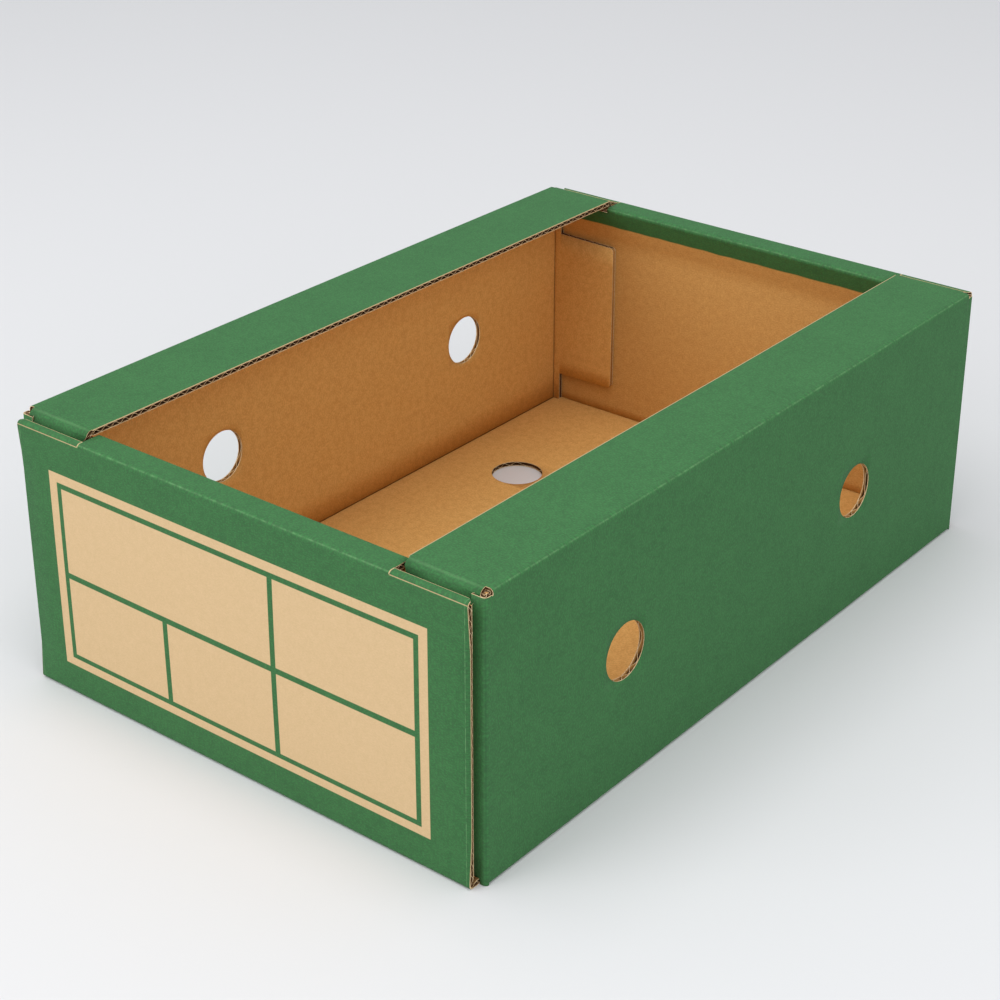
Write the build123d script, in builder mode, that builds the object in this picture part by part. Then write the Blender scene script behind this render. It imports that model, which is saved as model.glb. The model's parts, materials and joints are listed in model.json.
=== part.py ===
from build123d import *
from math import atan2, cos, pi, tan
import os

# Open tray folded from one blank of single-wall corrugated board.
# X runs across the tray, Y along it, Z up. The origin is the middle of the underside.

# Board
board = 3.0            # thickness of the corrugated board
liner = 0.4            # thickness of each face sheet and of the wave between them
flute_pitch = 6.4      # length of one wave
cell_depth = 4.0       # how deep the open cells are formed behind a cut edge
fold_inside = 0.2      # inside radius of a scored fold
ply_gap = 0.3          # air left between plies that lie on each other

# Body
tray_width = 302.6     # over the two side walls
tray_length = 460.0    # over the two end panels
wall_height = 154.0    # underside of the tray to the top of the ledges
end_drop = 3.0         # top of the ledges down to the top of the ends

# Ledges along the side walls
ledge_width = 48.0     # outside of the side wall to the cut edge of the ledge
ledge_fold = 2.0       # inside radius of the soft fold at each end of a ledge
tab_inset = 1.0        # cut edge of the ledge to the root of its tucked tab
tab_taper = 7.0        # how far each side of the tab draws in towards its tip
relief_radius = 1.0    # round relief where ledge, wall and tab meet

# Rolled ends
end_panel_inset = 4.3  # outside of the side wall to the cut side edge of an end panel
inner_panel_inset = 3.0  # how much narrower the turned-down inner panel is on each side
end_hollow = 0.5       # air between the end panel and its inner panel
spine_depth = 16.5     # face of the end to the inner fold of its spine
notch_clearance = 1.3  # cut edge of the ledge to the cut end of the spine
strip_depth = 6.3      # narrow top strip left beside the spine
strip_corner = 3.0     # rounding of the strip's outer corners
lean_drop = 27.0       # top of the end down to where the inner panel starts to lean in
lean_radius = 8.0      # radius of that soft bend
notch_drop = 7.0       # how far the corner notch reaches below the top of the end
score_size = 0.5       # width and depth of the cut score under each strip's fold

# Corner flaps, folded round from the side walls
flap_reach = 50.0      # outside of the side wall to the cut edge of the flap
flap_bottom = 22.0
flap_clearance = 2.0   # top of the flap below the lean of the inner panel
flap_taper = 0.8       # each long edge of the flap draws in by this much at its free end
flap_corner = 2.5
flap_root = 8.0        # full-height strip round the corner, measured from the side wall
root_drop = 3.6        # top of the ledge down to the cut top edge of that strip

# Vent holes
hole_diameter = 31.0
hole_height = 76.0
hole_spacing = 215.0
right_holes_shift = -10.5  # middle of the pair in the right wall, along the tray
left_holes_shift = 19.0    # middle of the pair in the left wall, along the tray
floor_hole_diameter = 32.0
floor_hole_x = 96.0
floor_hole_y = 114.0

# Places worked out from the sizes
half_board = board / 2
fold_middle = fold_inside + half_board
fold_outside = fold_inside + board
half_width = tray_width / 2
half_length = tray_length / 2
end_height = wall_height - end_drop
lean_foot = end_height - lean_drop
flap_top = lean_foot - flap_clearance
ledge_edge = half_width - ledge_width
end_panel_half = half_width - end_panel_inset
inner_panel_half = end_panel_half - inner_panel_inset
spine_half = ledge_edge - notch_clearance
ledge_middle = wall_height - half_board
spine_middle = end_height - half_board
inner_middle = board + end_hollow + half_board
inner_foot = board + ply_gap
flap_middle = board + end_hollow + board + ply_gap + half_board
lean_angle = atan2(spine_depth - half_board - inner_middle, spine_middle - lean_foot)
leaning_board = board / cos(lean_angle)
leaning_pitch = (board + ply_gap) / cos(lean_angle)
root_top = wall_height - root_drop


def lean_at(height):
    """Depth of the middle of the leaning inner panel at a height."""
    return inner_middle + (height - lean_foot) * tan(lean_angle)


def end_line(depth, height):
    """Point of an end section, given as depth behind the end face and height."""
    return (half_length - depth, height)


def draw_board(points, radii):
    """Draw the board's section along a line of panels, with a radius at each fold."""
    with BuildLine() as panels:
        FilletPolyline(*points, radius=radii)
    trace(panels.line, line_width=board)


def cut_cells(middle, length, turn):
    """Sketch the open cells of the wave along a cut edge, in pairs above and below the wave."""
    count = int(length // flute_pitch)
    steps = (0, flute_pitch, 1, count) if turn else (flute_pitch, 0, count, 1)
    half_cell = flute_pitch / 2 - 2 * liner
    rim = half_board - liner
    tip = half_board - 3 * liner
    for face, slide in ((1, 0), (-1, flute_pitch / 2)):
        cell = [(slide - half_cell, face * rim), (slide + half_cell, face * rim), (slide, -face * tip)]
        if turn:
            cell = [(across, along) for along, across in cell]
        with Locations(middle):
            with GridLocations(*steps):
                Polygon(*cell, align=None)


# Line of an end: floor, end panel, spine, leaning inner panel, down to the floor
floor_start = (0, half_board)
toe = end_line(half_board, half_board)
brow = end_line(half_board, spine_middle)
inner_brow = end_line(spine_depth - half_board, spine_middle)
foot = end_line(inner_middle, lean_foot)
inner_end = end_line(inner_middle, inner_foot)
notch_height = end_height - notch_drop
panel_folds = (fold_middle, fold_middle)

# Line of a ledge end and its tucked tab, which lies along the leaning panel until it meets the end panel
tab_tip_depth = board + ply_gap + leaning_board / 2
tab_tip_height = lean_foot + (tab_tip_depth + leaning_pitch - inner_middle) / tan(lean_angle)
ledge_end = end_line(lean_at(ledge_middle) - leaning_pitch, ledge_middle)
tab_tip = end_line(tab_tip_depth, tab_tip_height)
ledge_fold_middle = ledge_fold + half_board
ledge_run = ledge_fold_middle * tan((pi / 2 - lean_angle) / 2)
ledge_stop = ledge_end[0] - ledge_run
tab_width = end_panel_half - ledge_edge - tab_inset
tab_middle = ledge_edge + tab_inset + tab_width / 2

# Side wall and corner line
wall_middle = half_width - half_board
bend_start = half_length - flap_middle + half_board - fold_outside

with BuildPart() as tray:
    # Ledge ends with their soft fold and the tapered tab tucked between the end plies
    for side in (-1, 1):
        with BuildSketch(Plane.YZ.offset(side * tab_middle)):
            draw_board(((ledge_stop - board, ledge_middle), ledge_end, tab_tip), (ledge_fold_middle,))
        extrude(amount=tab_width / 2, both=True)
    with BuildSketch(Plane.XZ.offset(-half_length)):
        for side in (-1, 1):
            for edge in (-1, 1):
                root_x = side * tab_middle + edge * tab_width / 2
                with BuildLine():
                    Polyline(
                        (root_x, wall_height - board - ledge_fold),
                        (root_x, tab_tip_height - board),
                        (root_x - edge * tab_taper, tab_tip_height - board),
                        close=True,
                    )
                make_face()
    extrude(amount=half_length, mode=Mode.SUBTRACT)

    # End panels beside the spine, with only the narrow strip folded over
    with BuildSketch(Plane.YZ):
        draw_board((floor_start, toe, brow, end_line(strip_depth, spine_middle)), panel_folds)
    extrude(amount=end_panel_half, both=True)
    strip_edges = edges().filter_by(Axis.Z).filter_by_position(Axis.Z, end_height - board, end_height)
    fillet(strip_edges.group_by(Axis.X)[0] + strip_edges.group_by(Axis.X)[-1], radius=strip_corner)

    # Cut scores in the outer face, along the folds of the narrow strips
    with BuildSketch(Plane.YZ):
        with Locations((half_length, end_height - fold_outside - score_size)):
            Rectangle(2 * score_size, score_size)
    extrude(amount=end_panel_half, both=True, mode=Mode.SUBTRACT)

    # End panels with the full spine and the turned-down inner panel between the notches
    with BuildSketch(Plane.YZ):
        draw_board(
            (floor_start, toe, brow, inner_brow, foot, inner_end),
            (*panel_folds, fold_middle, lean_radius),
        )
    extrude(amount=spine_half, both=True)

    # Inner panels beside the spine, cut off below the notch
    with BuildSketch(Plane.YZ):
        draw_board(
            (end_line(lean_at(notch_height), notch_height), foot, inner_end),
            (lean_radius,),
        )
    extrude(amount=inner_panel_half, both=True)

    # Corner bends: the full-height strip carried round from each side wall
    bend_line = (
        (wall_middle, bend_start - board),
        (wall_middle, half_length - flap_middle),
        (half_width - flap_root, half_length - flap_middle),
    )
    with BuildSketch(Plane.XY.offset(board + ply_gap)):
        draw_board(bend_line, (fold_middle,))
        mirror(about=Plane.YZ)
    extrude(amount=root_top - board - ply_gap)

    # Outside the floor the bends reach down to the underside
    with BuildSketch(Plane.XY):
        draw_board(bend_line, (fold_middle,))
        with Locations((end_panel_half + ply_gap, bend_start)):
            Rectangle(
                end_panel_inset,
                half_length - bend_start,
                align=(Align.MIN, Align.MIN),
                mode=Mode.INTERSECT,
            )
        mirror(about=Plane.YZ)
    extrude(amount=board + ply_gap)

    # Corner flaps against the inner panels
    flap_line = half_width - flap_reach
    with BuildSketch(Plane.XZ.offset(-(half_length - flap_middle - half_board))):
        with BuildLine():
            Polyline(
                (half_width - flap_root + board, flap_bottom),
                (half_width - flap_root + board, flap_top),
                (flap_line, flap_top - flap_taper),
                (flap_line, flap_bottom + flap_taper),
                close=True,
            )
        make_face()
        fillet(vertices().group_by(Axis.X)[0], radius=flap_corner)
        mirror(about=Plane.YZ)
    extrude(amount=-board)

    # Everything so far is repeated at the other end
    mirror(about=Plane.XZ)

    # Floor and side walls up to the cut edge beside the ledge ends
    with BuildSketch(Plane.XZ):
        draw_board(
            ((0, half_board), (wall_middle, half_board), (wall_middle, root_top)),
            (fold_middle,),
        )
        mirror(about=Plane.YZ)
    extrude(amount=bend_start, both=True)

    # Side walls folded in to the ledges
    with BuildSketch(Plane.XZ):
        draw_board(
            (
                (wall_middle, root_top - fold_outside),
                (wall_middle, ledge_middle),
                (ledge_edge, ledge_middle),
            ),
            (fold_middle,),
        )
        mirror(about=Plane.YZ)
    extrude(amount=ledge_stop, both=True)

    # Round reliefs at the ledge corners
    with BuildSketch(Plane.XY.offset(wall_height)):
        with GridLocations(tray_width - fold_outside, 2 * ledge_stop + relief_radius, 2, 2):
            Circle(relief_radius)
    extrude(amount=-relief_radius - board, mode=Mode.SUBTRACT)

    # Vent holes in the side walls
    for side, shift in ((1, right_holes_shift), (-1, left_holes_shift)):
        with BuildSketch(Plane.YZ.offset(side * half_width)):
            with Locations((shift, hole_height)):
                with GridLocations(hole_spacing, 0, 2, 1):
                    Circle(hole_diameter / 2)
        extrude(amount=-side * board, mode=Mode.SUBTRACT)

    # Drain holes in the floor
    with BuildSketch(Plane.XY):
        with GridLocations(2 * floor_hole_x, 2 * floor_hole_y, 2, 2):
            Circle(floor_hole_diameter / 2)
    extrude(amount=board, mode=Mode.SUBTRACT)

    # Open wave cells along the cut edges of the ledges
    for side in (-1, 1):
        with BuildSketch(Plane.YZ.offset(side * ledge_edge)):
            cut_cells((0, ledge_middle), 2 * ledge_stop - flute_pitch, False)
        extrude(amount=side * cell_depth, mode=Mode.SUBTRACT)

    # Open wave cells in the cut ends of the spines
    spine_length = spine_depth - 2 * fold_outside
    for side in (-1, 1):
        with BuildSketch(Plane.YZ.offset(side * spine_half)):
            cut_cells((half_length - spine_depth / 2, spine_middle), spine_length, False)
            mirror(about=Plane.YZ)
        extrude(amount=-side * cell_depth, mode=Mode.SUBTRACT)

    # Open wave cells down the cut side edges of the end panels
    for side in (-1, 1):
        with BuildSketch(Plane.YZ.offset(side * end_panel_half)):
            side_middle = (half_length - half_board, end_height / 2)
            cut_cells(side_middle, end_height - 2 * fold_outside - flute_pitch, True)
            mirror(about=Plane.YZ)
        extrude(amount=-side * cell_depth, mode=Mode.SUBTRACT)

tray.part.label = "tray"

os.makedirs("parts", exist_ok=True)
export_step(tray.part, "parts/tray.step")
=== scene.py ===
"""Cardboard tray box: one die-cut blank of corrugated board, folded up. Metres, Z up, front towards -Y.

The board is three papers: a printed liner, a waved medium and an inside liner. Each is worked out flat, as
places u across and v along the blank in millimetres, and then folded by the same fold lines.
"""

import json

import bpy
import numpy as np
from mathutils import Matrix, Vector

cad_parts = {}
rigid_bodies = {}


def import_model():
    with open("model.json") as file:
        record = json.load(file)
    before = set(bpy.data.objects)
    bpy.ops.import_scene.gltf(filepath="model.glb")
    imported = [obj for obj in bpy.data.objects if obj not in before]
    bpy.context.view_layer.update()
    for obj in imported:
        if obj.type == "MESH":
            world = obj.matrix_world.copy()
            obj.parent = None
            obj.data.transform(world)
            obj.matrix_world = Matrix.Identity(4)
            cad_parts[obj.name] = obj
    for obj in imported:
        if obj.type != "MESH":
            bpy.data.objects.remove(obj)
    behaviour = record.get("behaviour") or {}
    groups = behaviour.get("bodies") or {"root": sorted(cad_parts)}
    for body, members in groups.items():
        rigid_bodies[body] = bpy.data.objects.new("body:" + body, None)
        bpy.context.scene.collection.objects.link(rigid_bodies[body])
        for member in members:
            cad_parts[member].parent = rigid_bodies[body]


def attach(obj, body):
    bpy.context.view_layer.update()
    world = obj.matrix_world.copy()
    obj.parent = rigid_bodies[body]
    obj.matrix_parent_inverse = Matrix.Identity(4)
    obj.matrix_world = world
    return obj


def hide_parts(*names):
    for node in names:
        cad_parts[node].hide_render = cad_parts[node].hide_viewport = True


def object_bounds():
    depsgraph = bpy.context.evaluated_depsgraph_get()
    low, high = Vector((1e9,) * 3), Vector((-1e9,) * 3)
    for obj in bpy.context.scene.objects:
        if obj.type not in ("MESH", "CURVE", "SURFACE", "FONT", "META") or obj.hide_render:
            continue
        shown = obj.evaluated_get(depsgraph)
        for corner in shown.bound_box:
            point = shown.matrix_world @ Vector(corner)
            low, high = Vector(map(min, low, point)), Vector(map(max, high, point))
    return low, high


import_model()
cad_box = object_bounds()

# Driving sizes in millimetres; the outer box comes from the frame
half_width, half_length, wall_height = (round(1000 * side, 1) for side in cad_box[1])
board = 3.0
liner = 0.4
flute_pitch = 6.4  # length of one wave of the medium
ply_gap = 0.3  # running gap between plies
fold_radius = 0.7  # radius of a crease, on the board's middle line
end_drop = 3.0  # the ends are this much lower than the side walls
end_panel_inset = 4.3  # outside of the side wall to the cut side edge of an end panel
inner_panel_inset = 3.0  # how much narrower the turned-down inner panel is on each side
ledge_width = 48.0  # outside of the side wall to the cut edge of the ledge
notch_clearance = 1.3  # cut edge of the ledge to the cut end of the spine
spine_depth = 16.5  # face of the end to the inner fold of its spine
strip_depth = 4.0  # narrow strip of the spine that runs on beside each notch
notch_reach = 0.4  # each notch ends this far past the spine's inner fold
lean_drop = 27.0  # height over which the rolled end leans back to its inner panel
lean_radius = 30.0
end_hollow = 0.5  # room between an end panel and its inner panel
tab_clear = 2.3  # extra room between a tucked tab and the leaning panel
tuck_radius = 1.2  # on the inside of the ledge's tucked end
tab_inset = 1.0  # cut edge of the ledge to the root of its tucked tab
flap_reach = 50.0  # outside of the side wall to the cut edge of the flap
flap_clearance = 2.0  # top of the flap below the lean of the inner panel
flap_bottom = 22.0
flap_corner = 2.5
flap_taper = 0.8
flap_root = 8.0  # strip beside the corner bend that keeps its full height
root_drop = 2.6  # top of the ledge down to the cut top edge of that strip
bend_tail = 1.5  # the fold at the wall's foot runs on this far past each corner bend
relief_radius = 0.5  # radius of the small cut where a ledge's fold stops
strip_corner = 3.0
tab_taper = 7.0  # how far a tab's sides draw in over its length
pressed_width = 1.8  # flattened side edge of an end panel
pressed_share = 0.6  # the part of its thickness that the board loses there
pressed_run = 24.0  # the flattening fades in over this height at both ends
score_half, score_depth = 0.07, 0.3  # half the width, and the depth, of the cut score in each strip's fold
print_reach = 11.5  # the print runs on this far past the spine's inner fold
bow_out, bow_up = 0.9, 0.35  # the most that walls and ends bow outwards, and ledges up and down
narrowest = 0.5  # least width of a band of board beside a hole or a pressed edge

# Middle lines of the panels, and the leaning part of the rolled end
half_board = board / 2
end_height = wall_height - end_drop
ledge_edge = half_width - ledge_width
spine_half = ledge_edge - notch_clearance
end_panel_half = half_width - end_panel_inset
inner_panel_half = end_panel_half - inner_panel_inset
lean_foot = end_height - lean_drop
flap_top = lean_foot - flap_clearance
root_top = wall_height - root_drop
wall_middle = half_width - half_board
ledge_middle = wall_height - half_board
spine_middle = end_height - half_board
inner_middle = board + end_hollow + half_board
flap_middle = 2 * board + end_hollow + ply_gap + half_board
lean_angle = np.arctan2(spine_depth - half_board - inner_middle, spine_middle - lean_foot)
tip_depth = board + ply_gap + half_board / np.cos(lean_angle)
leaning_pitch = (board + ply_gap) / np.cos(lean_angle)
lean_depth = inner_middle + (ledge_middle - lean_foot) * np.tan(lean_angle)
ledge_depth = lean_depth - leaning_pitch - tab_clear
tip_height = ledge_middle - (ledge_depth - tip_depth) / np.tan(lean_angle)

# Vent holes: centres along the tray, and the places that each row of holes shares
floor_hole_x, floor_hole_r, floor_hole_ys = 96.0, 16.0, (-114.0, 114.0)
wall_hole_height, wall_hole_r = 76.0, 15.5
right_hole_ys, left_hole_ys = (-118.0, 97.0), (-88.5, 126.5)

near = 0.01  # two places closer than this are the same


class FoldLine:
    """Middle line of folded panels: straight runs joined by arcs, looked up by the length along it.

    At a corner that turns by a, an arc of radius r takes r tan(a/2) off each run and is r a long.
    """

    arc_points = 25

    def __init__(self, points, radii):
        corners = np.array(points, float)
        way = np.diff(corners, axis=0)
        way /= np.linalg.norm(way, axis=1)[:, None]
        heading = np.unwrap(np.arctan2(way[:, 1], way[:, 0]))
        part = np.linspace(0, 1, self.arc_points)
        length, place, turn = [0.0], [corners[0]], [heading[0]]
        self.folds, self.radii, self.bends = [], radii, np.diff(heading)
        for k, (r, bend) in enumerate(zip(radii, self.bends)):
            arc_start = corners[k + 1] - way[k] * r * np.tan(abs(bend) / 2)
            start = length[-1] + np.linalg.norm(arc_start - place[-1])
            a = heading[k] + bend * part
            arc = np.stack([np.sin(a) - np.sin(a[0]), np.cos(a[0]) - np.cos(a)], 1)
            length += list(start + r * abs(bend) * part)
            place += list(arc_start + np.sign(bend) * r * arc)
            turn += list(a)
            self.folds.append((start, start + r * abs(bend)))
        length.append(length[-1] + np.linalg.norm(corners[-1] - place[-1]))
        place.append(corners[-1])
        turn.append(heading[-1])
        self.length, self.place, self.turn = np.array(length), np.array(place), np.array(turn)
        self.end = self.length[-1]

    def at(self, t, out):
        """Point at length t, set off by out to the right of the way along.

        Inside each arc the paper is crushed, and comes no nearer its centre than a tenth of the radius.
        """
        a = np.interp(t, self.length, self.turn)
        for (start, stop), r, bend in zip(self.folds, self.radii, self.bends):
            side = np.sign(bend)
            squeezed = side * np.maximum(out * side, -0.9 * r)
            out = np.where((t > start - near) & (t < stop + near), squeezed, out)
        first = np.interp(t, self.length, self.place[:, 0]) + out * np.sin(a)
        second = np.interp(t, self.length, self.place[:, 1]) - out * np.cos(a)
        return first, second


# The section across the tray, the rolled end, the corner bend with its flap, and the ledge's tucked end
across = FoldLine(
    [(0, half_board), (wall_middle, half_board), (wall_middle, ledge_middle), (ledge_edge, ledge_middle)],
    [fold_radius, fold_radius],
)
over = FoldLine(
    [
        (0, half_board),
        (half_length - half_board, half_board),
        (half_length - half_board, spine_middle),
        (half_length - spine_depth + half_board, spine_middle),
        (half_length - inner_middle, lean_foot),
        (half_length - inner_middle, board + ply_gap),
    ],
    [fold_radius, fold_radius, fold_radius, lean_radius],
)
flap_y = half_length - flap_middle
corner = FoldLine(
    [(wall_middle, 0), (wall_middle, flap_y), (half_width - flap_reach, flap_y)],
    [fold_radius],
)
tuck = FoldLine(
    [(0, ledge_middle), (half_length - ledge_depth, ledge_middle), (half_length - tip_depth, tip_height)],
    [tuck_radius + half_board],
)

# Places along the blank, measured from its middle
ledge_stop = tuck.folds[0][0]
bend_start = corner.folds[0][0]
bend_stop = corner.folds[0][1] + bend_tail
root_end = corner.folds[0][1] + flap_root - half_board - fold_radius
flap_end = corner.end
tab_end = tuck.end
strip_end = over.folds[1][1] + strip_depth - fold_radius - half_board
notch_end = over.folds[2][1] + notch_reach
inner_end = over.end
print_end = over.folds[2][1] + print_reach
score_v = over.folds[1][0] + 0.2

# Places across the blank
u_low, u_wall = across.folds[0]
u_top, u_ledge = across.folds[1]


def up_wall(z):
    """Distance across the blank of a height on the side wall: the fold's end plus the height above it."""
    return u_wall + z - half_board - fold_radius


def in_ledge(x):
    """Distance across the blank of a place on the ledge: the fold's end plus the way in from it."""
    return u_ledge + wall_middle - fold_radius - x


floor_holes = [(floor_hole_x, y, floor_hole_r) for y in floor_hole_ys]
right_holes = [(up_wall(wall_hole_height), y, wall_hole_r) for y in right_hole_ys]
left_holes = [(up_wall(wall_hole_height), y, wall_hole_r) for y in left_hole_ys]

# Extra rows across the blank, close enough to carry the slight bow of each panel
FLOOR_ROWS = (24.0, 48.0, 66.0)
SIDE_ROWS = (116.0, 132.0)
LOW_WALL_ROWS = [up_wall(z) for z in (32.0, 46.0, 58.0)]
HIGH_WALL_ROWS = [up_wall(z) for z in (94.0, 108.0)]
TOP_WALL_ROWS = [up_wall(z) for z in (132.0, 142.0)]
LEDGE_ROWS = [in_ledge(x) for x in (134.0, 120.0)]

# Which fold line a band of the blank follows, and the stretches along the blank where it is board
BY_END, BY_CORNER, BY_TUCK, BY_SECTION = range(4)
BANDS = {
    "middle": (BY_END, [(0, inner_end)]),
    "floor hole": (BY_END, [(0, inner_end)]),
    "panel side": (BY_END, [(0, strip_end), (notch_end, inner_end)]),
    "bottom fold": (BY_SECTION, [(0, bend_start)]),
    "corner fold": (BY_SECTION, [(0, bend_stop)]),
    "root": (BY_CORNER, [(0, root_end)]),
    "flap": (BY_CORNER, [(0, flap_end)]),
    "wall hole": (BY_CORNER, [(0, flap_end)]),
    "top fold": (BY_SECTION, [(0, ledge_stop)]),
    "tab": (BY_TUCK, [(0, tab_end)]),
    "ledge": (BY_SECTION, [(0, ledge_stop)]),
}


def half_chord(v, holes):
    """Half the width of the round holes at each place v: the root of r squared less distance squared."""
    return sum(np.sqrt(np.maximum(r * r - (v - centre) ** 2, 0.0)) for _, centre, r in holes)


def rounded(depth, radius):
    """Draws a round corner in, a depth past its start: r less the root of r squared less depth squared."""
    return radius - np.sqrt(radius**2 - depth**2)


def blank_rows(v, side, fine):
    """Places across one side of the blank for every place v along it, and the kind of each band between.

    The rows follow the cut edges: they part round the holes, draw in along tapers and round the corners.
    """
    far = np.abs(v)
    floor_gap = half_chord(v, floor_holes)
    wall_gap = half_chord(v, right_holes if side > 0 else left_holes)
    past_corner = np.clip(far - (strip_end - strip_corner), 0, strip_corner) * (far <= strip_end + near)
    panel_edge = np.where(far > notch_end, inner_panel_half, end_panel_half)
    side_edge = panel_edge - rounded(past_corner, strip_corner)
    taper = flap_taper * np.clip((far - root_end) / (flap_end - root_end), 0, 1)
    draw = taper + rounded(np.clip(far - (flap_end - flap_corner), 0, flap_corner), flap_corner)
    slope = tab_taper * np.clip((far - tuck.folds[0][1]) / (tab_end - tuck.folds[0][1]), 0, 1)
    notch = np.sqrt(np.maximum(relief_radius**2 - (far - ledge_stop - relief_radius) ** 2, 0))
    rows, kinds = [0 * v], []

    def band(kind, *places):
        """Adds rows of one kind, each a place across or one place for every v."""
        for place in places:
            rows.append(place + 0 * v)
            kinds.append(kind)

    def extra(kind, places):
        """Adds the rows that only the liners need."""
        if fine:
            band(kind, *places)

    def arc(kind, ends):
        """Adds evenly spaced rows over a fold."""
        band(kind, *np.linspace(ends[0], ends[1], 8 if fine else 5)[1:])

    extra("middle", FLOOR_ROWS)
    band("middle", floor_hole_x - floor_gap)
    band("floor hole", floor_hole_x + floor_gap)
    band("middle", np.maximum(spine_half, floor_hole_x + floor_gap + narrowest))
    extra("panel side", SIDE_ROWS)
    band("panel side", np.minimum(end_panel_half - pressed_width, side_edge - narrowest), side_edge)
    band("bottom fold", u_low)
    arc("corner fold", across.folds[0])
    band("root", up_wall(flap_bottom + draw))
    extra("flap", LOW_WALL_ROWS)
    band("flap", up_wall(wall_hole_height) - wall_gap)
    band("wall hole", up_wall(wall_hole_height) + wall_gap)
    extra("flap", HIGH_WALL_ROWS)
    band("flap", up_wall(flap_top - draw))
    extra("root", TOP_WALL_ROWS)
    band("root", up_wall(root_top) - notch)
    band("top fold", u_top)
    arc("top fold", across.folds[1])
    band("top fold", in_ledge(end_panel_half - slope))
    extra("tab", LEDGE_ROWS)
    band("tab", in_ledge(ledge_edge + tab_inset + slope))
    band("ledge", across.end)
    return np.stack(rows, 1), kinds


def blank_columns(step):
    """Places along the blank: even steps, with every fold, cut and hole rim among them."""

    def round_end(stop, radius, count):
        """Places over a round corner that ends at stop, closer together towards its end."""
        return stop - radius + radius * np.sin(np.linspace(0, np.pi / 2, count))

    stops = [0.0, ledge_stop, bend_start, bend_stop, root_end, flap_end]
    stops += [tab_end, strip_end, notch_end, inner_end]
    stops += [score_v - score_half, score_v, score_v + score_half, print_end - 0.2, print_end + 0.2]
    for line in (over, corner, tuck):
        for start, stop in line.folds:
            stops += list(np.linspace(start, stop, 9))
    stops += list(ledge_stop + relief_radius + relief_radius * np.cos(np.linspace(0, np.pi, 9)))
    stops += list(round_end(strip_end, strip_corner, 5))
    stops += list(round_end(flap_end, flap_corner, 7))
    stops += list(np.arange(0, inner_end, step))
    stops = np.array(stops)
    half_turn = np.linspace(0, np.pi, 25)
    rims = [centre + r * np.cos(half_turn) for _, centre, r in floor_holes + right_holes + left_holes]
    v = np.unique(np.round(np.concatenate([stops, -stops] + rims), 4))
    return v[np.concatenate([[True], np.diff(v) > 2 * near])]


def bowed(x, y, z):
    """Slight bow of the real tray, in millimetres: low sine waves over each panel, none at its corners.

    Walls and ends bow outwards, fading with the sixth power away from their faces. Ledges rise and fall.
    """
    sx, sy, sz = x / half_width, y / half_length, np.clip(z / wall_height, 0, 1)
    bow_y = bow_out * np.cos(sx * np.pi / 2) * np.sin(sz * np.pi) * np.abs(sy) ** 6 * np.sign(sy)
    bow_x = bow_out * np.cos(sy * np.pi / 2) * np.sin(sz * np.pi * 0.8) * np.abs(sx) ** 6 * np.sign(sx)
    on_ledge = (z > wall_height - 12) & (np.abs(sy) < 0.9)
    lift = bow_up * np.sin(sy * 5.1 + sx) * np.clip(1 - np.abs(sx), 0, 1) * on_ledge
    return x + bow_x, y + bow_y, z - lift


def folded(u, v, out, way):
    """Folds the flat blank: a point u across, v along and out from its middle goes to its place in space.

    The floor and ends follow the line over the end, the walls and flaps the line round the corner, and the
    tabs the line of the tuck; everything else lies on the section across. The result is in metres.
    """
    wide, far = np.abs(u), np.abs(v)
    section_x, section_z = across.at(wide, out)
    end_y, end_z = over.at(far, out)
    corner_x, corner_y = corner.at(far, out)
    tuck_y, tuck_z = tuck.at(far, -out)
    cases = [way == BY_END, way == BY_CORNER, way == BY_TUCK]
    x = np.select(cases, [wide, corner_x, section_x], section_x)
    y = np.select(cases, [end_y, corner_y, tuck_y], far)
    z = np.select(cases, [end_z, section_z, tuck_z], section_z)
    return np.stack(bowed(x * np.sign(u), y * np.sign(v), z), -1) * 0.001


def press(u, v, out):
    """Flattens the board where the die has pinched it, in a straight slope.

    Beside the cut side edges of an end panel it closes towards the inside face; the cut scores are grooves
    in the printed face.
    """
    wide, far = np.abs(u), np.abs(v)
    low, high = over.folds[0][1] + 1.0, over.folds[1][0] - 1.0
    on_panel = wide < end_panel_half + near
    along = np.clip((far - low) / pressed_run, 0, 1) * np.clip((high - far) / pressed_run, 0, 1)
    slope = np.clip((wide - end_panel_half + pressed_width) / pressed_width, 0, 1) * on_panel
    score = np.clip(1 - np.abs(far - score_v) / score_half, 0, 1)
    scored = (out > half_board - near) & (wide > spine_half - near) & on_panel
    return out - pressed_share * (out + half_board) * slope * along - score_depth * score * scored


def fold_ways(u, v, kinds):
    """The fold line that every point of the grid follows.

    A row takes it from its last band that isn't on the section; past the corner bend's start the lowest
    part of the wall goes with the corner.
    """
    by_row = np.full(len(kinds) + 1, BY_SECTION)
    for k, kind in enumerate(kinds):
        if BANDS[kind][0] != BY_SECTION:
            by_row[k : k + 2] = BANDS[kind][0]
    ways = np.repeat(by_row[None], len(v), 0)
    wide, far = np.abs(u), np.abs(v)
    ways[(far > bend_start + near) & (wide > u_low - near) & (wide < u_wall + near)] = BY_CORNER
    return ways


def board_cells(u, v, kinds):
    """Which cells of the grid are board, and which of those are closed up, as no hole parts their rows."""
    middle, width = np.abs(v[1:] + v[:-1]) / 2, np.diff(u, axis=1)
    in_hole = np.maximum(width[1:], width[:-1]) > 1e-5
    there = np.zeros((len(v) - 1, len(kinds)), bool)
    closed = np.zeros_like(there)
    for k, kind in enumerate(kinds):
        for start, stop in BANDS[kind][1]:
            there[:, k] |= (middle > start) & (middle < stop)
        if "hole" in kind:
            there[:, k] &= ~in_hole[:, k]
            closed[:, k] = ~in_hole[:, k]
    return there, closed


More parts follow.
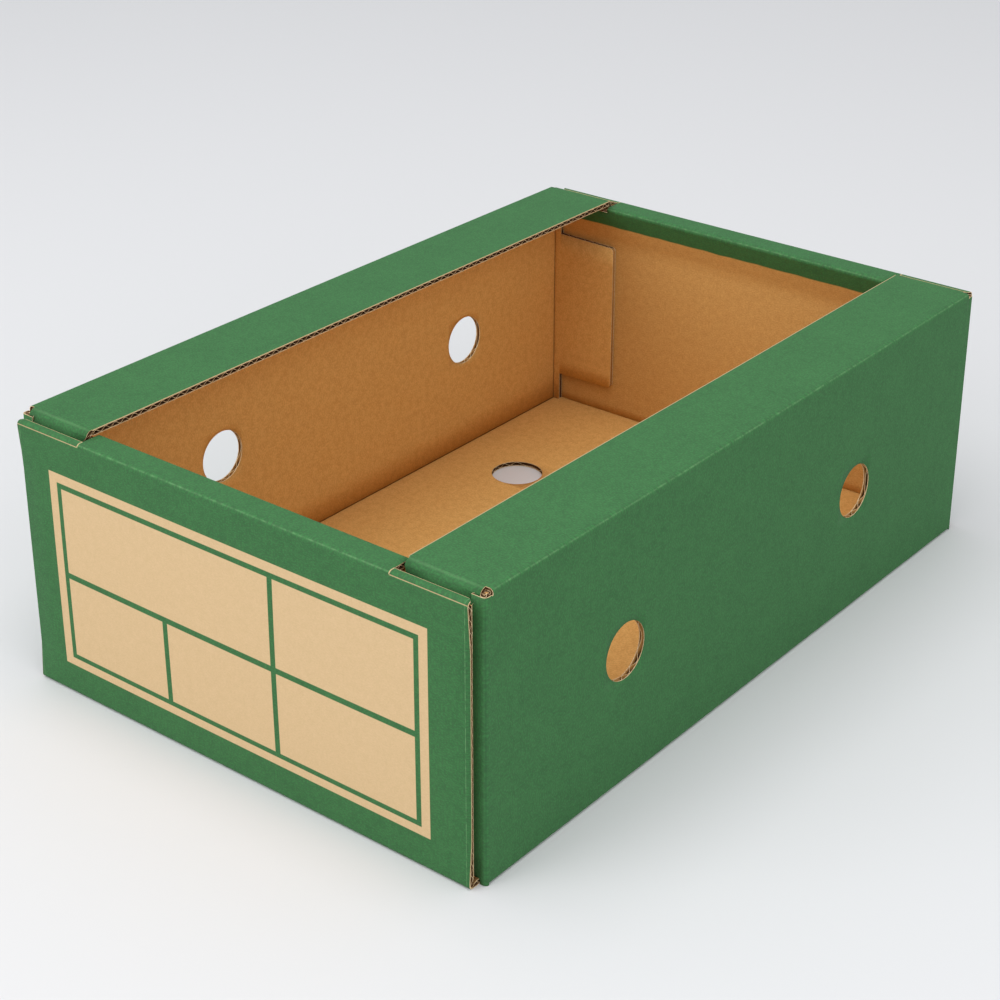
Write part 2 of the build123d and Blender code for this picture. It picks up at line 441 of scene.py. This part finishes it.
# The four sides of a cell: its two corners and its neighbour, as steps along and across
CELL_SIDES = (
    ((0, 0), (0, 1), (-1, 0)),
    ((0, 1), (1, 1), (0, 1)),
    ((1, 1), (1, 0), (1, 0)),
    ((1, 0), (0, 0), (0, -1)),
)


def shell_faces(there, closed):
    """Faces of a closed shell over the cells of board, and their kind: 0 outer, 1 inner, 2 cut edge.

    The inner points follow the outer ones; a rim joins both wherever a cell's neighbour is no board.
    """
    rows, columns = there.shape
    grid = np.arange((rows + 1) * (columns + 1)).reshape(rows + 1, columns + 1)
    i, j = np.nonzero(there & ~closed)
    a, b, c, d = grid[i, j], grid[i, j + 1], grid[i + 1, j + 1], grid[i + 1, j]
    groups = [np.stack([a, d, c, b], 1), np.stack([a, b, c, d], 1) + grid.size]
    padded = np.pad(there, 1)
    rims = []
    for first, second, (ahead, aside) in CELL_SIDES:
        neighbour = padded[1 + ahead : 1 + ahead + rows, 1 + aside : 1 + aside + columns]
        i, j = np.nonzero(there & ~closed & ~neighbour)
        start, stop = grid[i + first[0], j + first[1]], grid[i + second[0], j + second[1]]
        rims.append(np.stack([stop + grid.size, start + grid.size, start, stop], 1))
    groups.append(np.concatenate(rims))
    return np.concatenate(groups), np.repeat(np.arange(3), [len(group) for group in groups])


def paper(name, step, fine, swing, top, bottom, sides):
    """One paper of the board as a closed shell between two heights off the board's middle.

    Both faces follow a sine of this swing along the blank. The two numbers of sides say which material the
    outer and inner faces take; cut edges take number 1. The blank's own places are kept as a UV map.
    """
    v = blank_columns(step)
    right, kinds = blank_rows(v, 1, fine)
    left = blank_rows(v, -1, fine)[0]
    u = np.concatenate([-left[:, :0:-1], right], 1)
    kinds = kinds[::-1] + kinds
    along = np.repeat(v[:, None], u.shape[1], 1)
    ways = fold_ways(u, along, kinds)
    wave = swing * np.sin(2 * np.pi * along / flute_pitch)
    layers = [folded(u, along, press(u, along, wave + height), ways) for height in (top, bottom)]
    points = np.concatenate(layers).reshape(-1, 3)
    faces, kind = shell_faces(*board_cells(u, v, kinds))
    used, faces = np.unique(faces, return_inverse=True)
    faces = faces.reshape(-1, 4)
    flat = np.concatenate([np.stack([u, along], -1).reshape(-1, 2)] * 2)[used] * 0.001
    mesh = bpy.data.meshes.new(name)
    mesh.from_pydata(points[used], [], faces)
    mesh.polygons.foreach_set("material_index", np.array([*sides, 1])[kind])
    mesh.polygons.foreach_set("use_smooth", kind != 2)
    layer = mesh.uv_layers.new(name="Blank")
    layer.data.foreach_set("uv", flat[faces.ravel()].astype(np.float32).ravel())
    mesh.validate()
    mesh.update()
    piece = bpy.data.objects.new(name, mesh)
    bpy.context.scene.collection.objects.link(piece)
    return piece


class Paint:
    """A small writer of shader nodes: each call adds a node and returns its output."""

    def __init__(self, name):
        self.material = bpy.data.materials.new(name)
        self.material.use_nodes = True
        self.tree = self.material.node_tree
        self.shader = self.tree.nodes["Principled BSDF"]

    def put(self, socket, value):
        """Links another node's output to a socket, or sets the socket to a plain value."""
        if isinstance(value, bpy.types.NodeSocket):
            self.tree.links.new(value, socket)
        else:
            socket.default_value = value

    def math(self, how, *values):
        """One step of arithmetic on one to three values."""
        node = self.tree.nodes.new("ShaderNodeMath")
        node.operation = how
        for socket, value in zip(node.inputs, values):
            self.put(socket, value)
        return node.outputs[0]

    def both(self, first, *others):
        """Where all the fields are 1: their product."""
        for other in others:
            first = self.math("MULTIPLY", first, other)
        return first

    def either(self, first, *others):
        """Where any of the fields is 1: the greatest of them."""
        for other in others:
            first = self.math("MAXIMUM", first, other)
        return first

    def ramp(self, x, low, high, start=0.0, stop=1.0):
        """Runs straight from start at low to stop at high, and stays level outside them."""
        node = self.tree.nodes.new("ShaderNodeMapRange")
        for socket, value in zip(node.inputs, (x, low, high, start, stop)):
            self.put(socket, value)
        return node.outputs[0]

    def between(self, x, low, high, soft=0.12):
        """1 from low to high, falling off over the soft edge, all in millimetres."""
        return self.both(self.ramp(x, low - soft, low + soft), self.ramp(x, high - soft, high + soft, 1, 0))

    def line(self, x, middle):
        """A thin line along the middle of a fold."""
        return self.between(x, middle - 0.1, middle + 0.1, 0.1)

    def noise(self, where, scale, detail=3.0, rough=0.5):
        """Random cloud from 0 to 1 with this many patches to the metre."""
        node = self.tree.nodes.new("ShaderNodeTexNoise")
        for key, value in (("Vector", where), ("Scale", scale), ("Detail", detail), ("Roughness", rough)):
            self.put(node.inputs[key], value)
        return node.outputs[0]

    def mix(self, part, first, second):
        """The first colour with this part of the second in it."""
        node = self.tree.nodes.new("ShaderNodeMix")
        node.data_type = "RGBA"
        for socket, value in ((0, part), (6, first), (7, second)):
            self.put(node.inputs[socket], value)
        return node.outputs[2]

    def stretch(self, where, scale):
        """Multiplies a place by a scale along each axis."""
        node = self.tree.nodes.new("ShaderNodeMapping")
        self.put(node.inputs["Vector"], where)
        self.put(node.inputs["Scale"], scale)
        return node.outputs[0]

    def objects(self):
        """Place in the tray, in metres."""
        return self.tree.nodes.new("ShaderNodeTexCoord").outputs["Object"]

    def blank(self):
        """Place on the flat blank in metres, and its two parts across and along in millimetres."""
        place = self.tree.nodes.new("ShaderNodeUVMap")
        place.uv_map = "Blank"
        parts = self.tree.nodes.new("ShaderNodeSeparateXYZ")
        self.put(parts.inputs[0], place.outputs[0])
        u, v = (self.math("MULTIPLY", part, 1000) for part in parts.outputs[:2])
        return place.outputs[0], u, v

    def bump(self, height, strength, distance):
        """Lights the surface as if it rose by height times distance."""
        node = self.tree.nodes.new("ShaderNodeBump")
        for key, value in (("Height", height), ("Strength", strength), ("Distance", distance)):
            self.put(node.inputs[key], value)
        self.put(self.shader.inputs["Normal"], node.outputs[0])

    def finish(self, colour, rough):
        """Ends the material with its colour and roughness, under a weak shine."""
        for key, value in (("Base Color", colour), ("Roughness", rough), ("Specular IOR Level", 0.25)):
            self.put(self.shader.inputs[key], value)
        return self.material


def rgb(red, green, blue):
    """A display colour from 0 to 255 as linear light."""
    c = np.array([red, green, blue]) / 255
    return (*np.where(c < 0.04045, c / 12.92, ((c + 0.055) / 1.055) ** 2.4), 1.0)


# Colours of the papers, the print, what is stirred into them, the painted shade of folds and of the board's
# insides, and the studio
KRAFT, KRAFT_DARK, KRAFT_PALE = rgb(214, 168, 100), rgb(186, 137, 74), rgb(215, 184, 141)
INSIDE, INSIDE_DARK, INSIDE_PALE = rgb(224, 176, 104), rgb(204, 154, 84), rgb(230, 193, 134)
# The pale green is rubbed print, and it also paints a highlight past the ledge's tucked fold
GREEN, GREEN_DEEP, GREEN_WORN_AND_SHEEN = rgb(58, 117, 64), rgb(28, 76, 38), rgb(118, 164, 112)
# Painted shade: a dark line down the print's corner bends, and dark lines in the folds and slots of the
# inside
GREEN_BEND_SHADE, PAINTED_FOLD_SHADE = rgb(30, 70, 40), rgb(70, 42, 20)
LABEL_DARK = rgb(206, 176, 132)
# The medium's own darker brown, deepened to paint the shade in the hollows inside the board
WAVE_IN_SHADE, WAVE_DEEP_SHADE = rgb(96, 62, 34), rgb(76, 48, 26)
EDGE, EDGE_PALE = rgb(196, 164, 118), rgb(232, 210, 172)
FLOOR, SKY = rgb(216, 216, 217), rgb(240, 242, 245)

# How strongly the clumps of fibre show, in the ink and in bare kraft
INK_CLUMPS, KRAFT_CLUMPS = 0.15, 0.4

# The bare panel on the front end, across from the middle and up from the floor, low and high
FIELD = (-125.5, 124.0), (18.0, 130.0)
BORDER_OUTSIDE = (-120.0, 118.8), (22.6, 124.8)
BORDER_INSIDE = (-117.0, 115.8), (25.4, 121.8)
ROW_LINE = 70.6, 73.9
TALL_DIVIDER = 26.4, 29.7
LOW_DIVIDER = -47.9, -44.6
low_divider_top = 72.0


def paper_bump(p, uv, v):
    """Fibre of the paper, over flutes that show very faintly through it as a wave along the blank."""
    wave = p.math("SINE", p.math("MULTIPLY", v, 2 * np.pi / flute_pitch))
    fibre = p.noise(p.stretch(uv, (1, 1.6, 1)), 800, 3, 0.6)
    p.bump(p.math("MULTIPLY_ADD", wave, 0.08, fibre), 0.12, 0.0002)
    return fibre


def clumped(p, uv, fibre, share):
    """Fibre with clumps about 4 mm wide: a share of the clumps is added, round their middle value."""
    clumps = p.noise(uv, 240, 2, 0.6)
    return p.math("MULTIPLY_ADD", clumps, share, p.math("SUBTRACT", fibre, share / 2))


def stirred(p, place, tone):
    """How dark the paper is: one part of wide blotches to nine of fibre, spread over 0 to 1."""
    blotch = p.noise(place, 40, 5, 0.7)
    both = p.math("MULTIPLY_ADD", blotch, 0.1, p.math("MULTIPLY", tone, 0.9))
    return p.ramp(both, 0.4, 0.6)


def label(p, u, v):
    """Bare panel of the front end: the field less its green border and the lines of its grid."""
    height = p.math("SUBTRACT", p.math("MULTIPLY", v, -1), over.folds[0][1] - half_board - fold_radius)

    def block(across_it, up_it):
        """A rectangle: between two places across and between two heights."""
        return p.both(p.between(u, *across_it), p.between(height, *up_it))

    field, outside, inside = block(*FIELD), block(*BORDER_OUTSIDE), block(*BORDER_INSIDE)
    below_row = p.ramp(height, low_divider_top, low_divider_top + 0.3, 1, 0)
    low_divider = p.both(p.between(u, *LOW_DIVIDER), below_row)
    grid = p.both(p.either(p.between(height, *ROW_LINE), p.between(u, *TALL_DIVIDER), low_divider), outside)
    drawn = p.either(grid, p.math("SUBTRACT", outside, inside))
    return p.math("SUBTRACT", field, p.both(field, drawn))


def rubbed_folds(p, green, place, wide, far):
    """Pale, patchy lines where the print is rubbed on folds, a line of painted shade down each corner bend,
    and a faint painted highlight past the fold of the ledge's tucked end.
    """
    spine_folds = p.either(*(p.line(far, sum(ends) / 2) for ends in over.folds[1:3]))
    on_spine = p.ramp(wide, spine_half - 0.2, spine_half, 1, 0)
    rubbed = p.either(p.both(spine_folds, on_spine), p.line(wide, sum(across.folds[1]) / 2))
    worn = p.both(rubbed, p.ramp(p.noise(place, 300, 5, 0.75), 0.4, 0.62))
    # Painted shade: a darker green line down the corner bend
    bend_shade = p.both(p.line(far, sum(corner.folds[0]) / 2), p.between(wide, u_wall, u_top))
    green = p.mix(p.both(bend_shade, 0.35), green, GREEN_BEND_SHADE)
    green = p.mix(p.both(worn, 0.5), green, GREEN_WORN_AND_SHEEN)
    # Painted highlight: a faint sheen just past the fold of the ledge's tucked end
    on_ledge = p.ramp(wide, u_ledge, u_ledge + 0.5)
    painted_sheen = p.both(p.between(far, ledge_stop + 0.5, ledge_stop + 1.1, 0.5), on_ledge)
    green = p.mix(p.both(painted_sheen, 0.3), green, GREEN_WORN_AND_SHEEN)
    bend = p.both(p.line(wide, end_panel_half - pressed_width), p.ramp(far, bend_start, bend_start + 1))
    patchy = p.ramp(p.noise(place, 240, 4, 0.7), 0.35, 0.65)
    return p.mix(p.both(bend, patchy, 0.9), green, GREEN_WORN_AND_SHEEN)


def cut_rims(p, wide, far):
    """Pale rims of bare paper: the ledges' long edges, the panels' side edges, the strips, the scores."""
    ledge_rim = p.ramp(wide, across.end - 0.55, across.end - 0.35)
    panel_rim = p.between(wide, end_panel_half - 0.1, end_panel_half + 0.5, 0.08)
    panel_rim = p.both(panel_rim, p.ramp(far, bend_start, bend_start + 1))
    on_strip = p.between(wide, spine_half + 0.3, end_panel_half + 0.8)
    strip_rim = p.between(far, strip_end - 0.25, strip_end + 0.5, 0.08)
    score = p.between(far, score_v - score_half, score_v + score_half, 0.03)
    at_spine = p.between(wide, spine_half - 0.2, spine_half + 0.4)
    strip_side = p.both(at_spine, p.between(far, score_v, strip_end))
    return p.either(ledge_rim, panel_rim, p.both(p.either(strip_rim, score), on_strip), strip_side)


def printed_board():
    """Green print over kraft, with a bare framed panel on the front end; the folds are rubbed pale.

    The print ends in a slightly wavy line on the leaning part of each rolled end, and bare kraft follows.
    """
    p = Paint("green printed liner")
    uv, u, v = p.blank()
    wide, far = p.math("ABSOLUTE", u), p.math("ABSOLUTE", v)
    place = p.objects()
    fibre = paper_bump(p, uv, v)
    wobble = p.math("MULTIPLY", p.math("SUBTRACT", p.noise(place, 60, 2), 0.5), 1.6)
    ink = p.ramp(p.math("ADD", far, wobble), print_end - 0.4, print_end + 0.4, 1, 0)
    green = p.mix(stirred(p, place, clumped(p, uv, fibre, INK_CLUMPS)), GREEN, GREEN_DEEP)
    green = p.mix(p.ramp(fibre, 0.4, 0.8, 0, 0.3), green, GREEN_WORN_AND_SHEEN)
    green = rubbed_folds(p, green, place, wide, far)
    green = p.mix(p.both(cut_rims(p, wide, far), 0.8), green, KRAFT_PALE)
    tone = clumped(p, uv, fibre, KRAFT_CLUMPS)
    kraft = p.mix(p.ramp(tone, 0.25, 0.75), KRAFT_DARK, KRAFT)
    pale = p.mix(p.ramp(tone, 0.35, 0.7), LABEL_DARK, KRAFT_PALE)
    colour = p.mix(label(p, u, v), p.mix(ink, kraft, green), pale)
    return p.finish(colour, p.ramp(fibre, 0, 1, 0.62, 0.82))


def fold_shade(p, wide, far):
    """Painted shade: a dark line in the fold at the wall's foot and in the corner, darkest in the slot
    beside a panel.
    """
    sunk = half_board - fold_radius + 0.3
    foot = p.between(wide, u_low - sunk, u_wall + sunk, 0.3)
    bend = p.between(far, bend_start - sunk, corner.folds[0][1] + sunk, 0.3)
    slot_across = p.between(wide, inner_panel_half + 0.5, end_panel_half)
    slot = p.both(slot_across, p.between(far, bend_start - 1, over.folds[0][1] + 1), 1.7)
    return p.either(slot, foot, p.both(bend, p.ramp(wide, u_wall, u_wall + 1)))


def crushed_rims(p, u, v, wide, far):
    """Where the die has crushed the wave: within 2 mm of a wall hole, and along a flap's end."""
    crushed = p.ramp(far, flap_end - 2.0, flap_end - 1.2)
    for holes, side in ((right_holes, 1), (left_holes, -1)):
        for across_hole, along_hole, radius in holes:
            aside = p.math("SUBTRACT", u, side * across_hole)
            ahead = p.math("SUBTRACT", v, along_hole)
            away = p.math("SQRT", p.math("MULTIPLY_ADD", aside, aside, p.math("MULTIPLY", ahead, ahead)))
            crushed = p.either(crushed, p.ramp(away, radius + 1.2, radius + 2.2, 1, 0))
    return p.both(crushed, p.between(wide, u_wall, u_top))


def kraft_board(name, light, dark, crushed=0.0, painted_shade=0.0):
    """Plain kraft paper: two browns stirred together, with painted shade in its folds and paler crushed
    rims.

    The last two numbers say how strongly the crushed rims and the painted shade of the folds show.
    """
    p = Paint(name)
    uv, u, v = p.blank()
    wide, far = p.math("ABSOLUTE", u), p.math("ABSOLUTE", v)
    fibre = paper_bump(p, uv, v)
    colour = p.mix(stirred(p, p.objects(), clumped(p, uv, fibre, KRAFT_CLUMPS)), light, dark)
    colour = p.mix(p.ramp(fibre, 0.5, 0.85, 0, 0.3), colour, INSIDE_PALE)
    if painted_shade:
        # Painted shade in the folds and in the slot beside each panel
        colour = p.mix(p.both(fold_shade(p, wide, far), painted_shade), colour, PAINTED_FOLD_SHADE)
    if crushed:
        colour = p.mix(p.both(crushed_rims(p, u, v, wide, far), crushed), colour, KRAFT_DARK)
    return p.finish(colour, 0.85)


def cut_board():
    """Cut paper edge: pale with short darker flecks."""
    p = Paint("cut edge")
    fleck = p.noise(p.objects(), 700, 3, 0.7)
    return p.finish(p.mix(p.ramp(fleck, 0.35, 0.7), EDGE, EDGE_PALE), 0.9)


# The three papers: the medium's wave touches both liners, and its own paper is thinner than theirs
liner_step = 9.0  # the liners' longest step along the blank
steps_per_wave = 6
half_medium = 0.14
wave_swing = half_board - liner - half_medium
printed = paper("printed_liner", liner_step, True, 0, half_board, half_board - liner, (0, 2))
inside = paper("inside_liner", liner_step, True, 0, liner - half_board, -half_board, (2, 0))
wave_step = flute_pitch / steps_per_wave
medium = paper("wave_medium", wave_step, False, wave_swing, half_medium, -half_medium, (2, 2))

edge = cut_board()
# Painted shade inside the board: the medium and the liners' faces towards it take this dark kraft
shade = kraft_board("wave kraft in painted shade", WAVE_IN_SHADE, WAVE_DEEP_SHADE, crushed=0.7)
plain = kraft_board("inside kraft", INSIDE, INSIDE_DARK, painted_shade=0.5)
for piece, finish in ((printed, printed_board()), (inside, plain), (medium, shade)):
    for material in (finish, edge, shade):
        piece.data.materials.append(material)
    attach(piece, "root")
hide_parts("tray")


def studio_floor():
    """Wide pale floor, a fifth of a millimetre under the tray so that the two never share a plane."""
    reach, under = 20.0, -0.0002
    corners = [(reach * x, reach * y, under) for x, y in ((-1, -1), (1, -1), (1, 1), (-1, 1))]
    mesh = bpy.data.meshes.new("floor")
    mesh.from_pydata(corners, [], [(0, 1, 2, 3)])
    mesh.materials.append(Paint("floor paper").finish(FLOOR, 0.9))
    floor = bpy.data.objects.new("floor", mesh)
    bpy.context.scene.collection.objects.link(floor)
    return floor


def sky():
    """Even pale light from all round."""
    world = bpy.data.worlds.new("studio")
    world.use_nodes = True
    background = world.node_tree.nodes["Background"]
    background.inputs["Color"].default_value = SKY
    background.inputs["Strength"].default_value = 0.82
    return world


def stand(name, data, place, back):
    """Puts a lamp or camera at a place, looking along minus back, with its first axis level.

    The first axis is Z crossed with back, the second back crossed with the first.
    """
    back = np.array(back) / np.linalg.norm(back)
    side = np.cross((0, 0, 1), back)
    side /= np.linalg.norm(side)
    turned = np.eye(4)
    turned[:3] = np.stack([side, np.cross(back, side), back, place], 1)
    piece = bpy.data.objects.new(name, data)
    piece.matrix_world = Matrix(turned.tolist())
    bpy.context.scene.collection.objects.link(piece)
    return piece


def soft_light(name, place, size, power):
    """A square area light that looks at the middle of the tray's height."""
    lamp = bpy.data.lights.new(name, "AREA")
    lamp.size, lamp.energy = size, power
    aim = 0, 0, 0.08
    stand(name, lamp, place, np.subtract(place, aim))


def photo_camera():
    """Camera as fitted to the photo's edges, turned round from the tray's front and looking down on it."""
    azimuth, elevation = np.radians(38.59), np.radians(24.90)
    lens = bpy.data.cameras.new("camera")
    lens.lens, lens.sensor_width = 77.46, 36
    lens.shift_y = -0.09
    lens.clip_start, lens.clip_end = 0.05, 30
    level = np.cos(elevation)
    back = np.sin(azimuth) * level, -np.cos(azimuth) * level, np.sin(elevation)
    return stand("camera", lens, (0.6556, -0.8452, 0.6124), back)


# The studio: floor, light and camera
floor = studio_floor()
bpy.context.scene.view_settings.view_transform = "Standard"
bpy.context.scene.world = sky()
soft_light("key", (-0.9, -1.9, 1.1), 1.4, 13)
soft_light("above", (0.05, -0.6, 2.4), 2.2, 29)
soft_light("fill", (1.9, -0.7, 1.2), 1.6, 10)
bpy.context.scene.camera = photo_camera()
